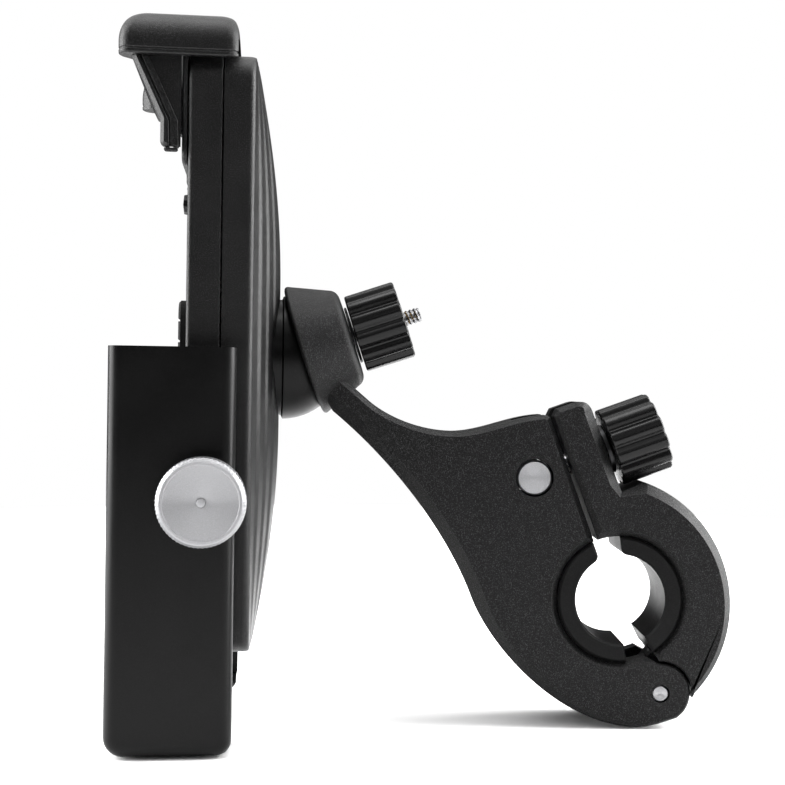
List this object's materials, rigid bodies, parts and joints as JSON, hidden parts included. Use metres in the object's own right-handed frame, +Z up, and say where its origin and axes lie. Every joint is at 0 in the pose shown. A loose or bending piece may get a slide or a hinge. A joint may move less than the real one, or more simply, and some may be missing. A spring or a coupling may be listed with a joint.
{
  "type": "handlebar phone mount",
  "caption": "Handlebar phone mount: sprung hook and two sliding side jaws on a ball joint, with a curved arm and a hinged bar clamp.",
  "frame": {"origin": "centre of the bounding box's bottom face, on the surface that the jaws' feet and the clamp stand on", "axes": "+Z up, +X from the cradle toward the handlebar, Y along the handlebar"},
  "size_m": [0.1592, 0.099, 0.1729],
  "materials": {
    "arm_metal": "sandblasted and anodised black, satin",
    "shell_plastic": "fine textured black",
    "jaw_plastic": "smooth black gloss",
    "knob_plastic": "satin black",
    "inner_plastic": "plain dark grey",
    "bush_plastic": "smooth black nylon",
    "pad_rubber": "soft black",
    "turned_metal": "turned and knurled, bright",
    "steel": "bright turned steel",
    "brass": "plain turned brass"
  },
  "bodies": {
    "arm": {"arm": "arm_metal", "hinge_pin": "steel", "barrel_nut": "steel", "bush_fixed": "bush_plastic", "tilt_stud": "steel", "inner_washer": "steel"},
    "clamp_jaw": {"clamp_jaw": "arm_metal", "bush_moving": "bush_plastic", "clamp_stud": "steel", "clamp_washer": "steel"},
    "clamp_knob": {"clamp_knob": "knob_plastic", "clamp_knob_insert": "brass"},
    "tilt_washer": {"tilt_washer": "steel"},
    "tilt_knob": {"tilt_knob": "knob_plastic", "tilt_knob_insert": "brass"},
    "ball_liner": {"ball_liner": "inner_plastic"},
    "ball_dome": {"ball_dome": "shell_plastic"},
    "cradle": {"front_plate": "shell_plastic", "back_shell": "shell_plastic", "front_pad": "pad_rubber", "shell_screw_1": "steel", "shell_screw_2": "steel", "shell_screw_3": "steel", "shell_screw_4": "steel", "captive_nut_near": "brass", "captive_nut_far": "brass", "turntable_ring": "inner_plastic", "ring_screw_lower": "steel", "ring_screw_upper": "steel", "spring_post": "steel"},
    "hook": {"hook": "shell_plastic", "hook_pad_near": "pad_rubber", "hook_pad_far": "pad_rubber", "hook_slide": "shell_plastic", "slide_keeper": "steel", "keeper_screw_lower": "steel", "keeper_screw_upper": "steel", "hook_spring": "steel"},
    "jaw_near": {"jaw_near": "jaw_plastic", "jaw_pad_near": "pad_rubber", "foot_pad_near": "pad_rubber", "guide_rod_near_upper": "steel", "guide_rod_near_lower": "steel"},
    "jaw_far": {"jaw_far": "jaw_plastic", "jaw_pad_far": "pad_rubber", "foot_pad_far": "pad_rubber", "guide_rod_far_upper": "steel", "guide_rod_far_lower": "steel"},
    "screw_near": {"thumb_screw_near": "turned_metal", "screw_clip_near": "steel"},
    "screw_far": {"thumb_screw_far": "turned_metal", "screw_clip_far": "steel"}
  },
  "joints": [
    {"name": "clamp_open", "type": "hinge", "parent": "arm", "child": "clamp_jaw", "pos_m": [0.0622, 0.0018, 0.0087], "axis": [0, 1, 0], "range_deg": [0, 75]},
    {"name": "clamp_knob_turn", "type": "hinge", "parent": "clamp_jaw", "child": "clamp_knob", "pos_m": [0.0297, 0.0018, 0.0628], "axis": [0.9379, 0, 0.3469], "continuous": true},
    {"name": "tilt_lock_slide", "type": "slide", "parent": "arm", "child": "tilt_washer", "axis": [0.9489, 0, 0.3156], "range_m": [0, 0.003]},
    {"name": "tilt_knob_turn", "type": "hinge", "parent": "tilt_washer", "child": "tilt_knob", "pos_m": [-0.0353, 0.0018, 0.0926], "axis": [0.9489, 0, 0.3156], "range_deg": [0, 1440]},
    {"name": "cradle_tilt", "type": "hinge", "parent": "arm", "child": "ball_liner", "pos_m": [-0.0353, 0.0018, 0.0926], "axis": [0, -1, 0], "range_deg": [0, 34]},
    {"name": "cradle_pan", "type": "hinge", "parent": "ball_liner", "child": "ball_dome", "pos_m": [-0.0353, 0.0018, 0.0926], "axis": [0, 0, 1], "range_deg": [-14, 2]},
    {"name": "cradle_rotate", "type": "hinge", "parent": "ball_dome", "child": "cradle", "pos_m": [-0.0353, 0.0018, 0.0926], "axis": [0.9945, 0.1045, 0], "continuous": true},
    {"name": "hook_lift", "type": "slide", "parent": "cradle", "child": "hook", "axis": [0, 0, 1], "range_m": [0, 0.022], "stiffness_N_per_m": 150, "springref_m": -0.02, "deforming": ["hook_spring"]},
    {"name": "jaw_near_slide", "type": "slide", "parent": "cradle", "child": "jaw_near", "axis": [0.1045, -0.9945, 0], "range_m": [-0.0055, 0.008]},
    {"name": "screw_near_turn", "type": "hinge", "parent": "jaw_near", "child": "screw_near", "pos_m": [-0.0536, -0.00012, 0.0589], "axis": [0.1045, -0.9945, 0], "range_deg": [-2808, 4104]},
    {"name": "jaw_far_slide", "type": "slide", "parent": "cradle", "child": "jaw_far", "axis": [-0.1045, 0.9945, 0], "range_m": [-0.0055, 0.008]},
    {"name": "screw_far_turn", "type": "hinge", "parent": "jaw_far", "child": "screw_far", "pos_m": [-0.0536, -0.00012, 0.0589], "axis": [-0.1045, 0.9945, 0], "range_deg": [-2808, 4104]}
  ],
  "couplings": [
    {"joint": "tilt_lock_slide", "follows": "tilt_knob_turn", "m_per_rad": 0.00011141},
    {"joint": "jaw_near_slide", "follows": "screw_near_turn", "m_per_rad": 0.00011141},
    {"joint": "jaw_far_slide", "follows": "screw_far_turn", "m_per_rad": 0.00011141}
  ]
}
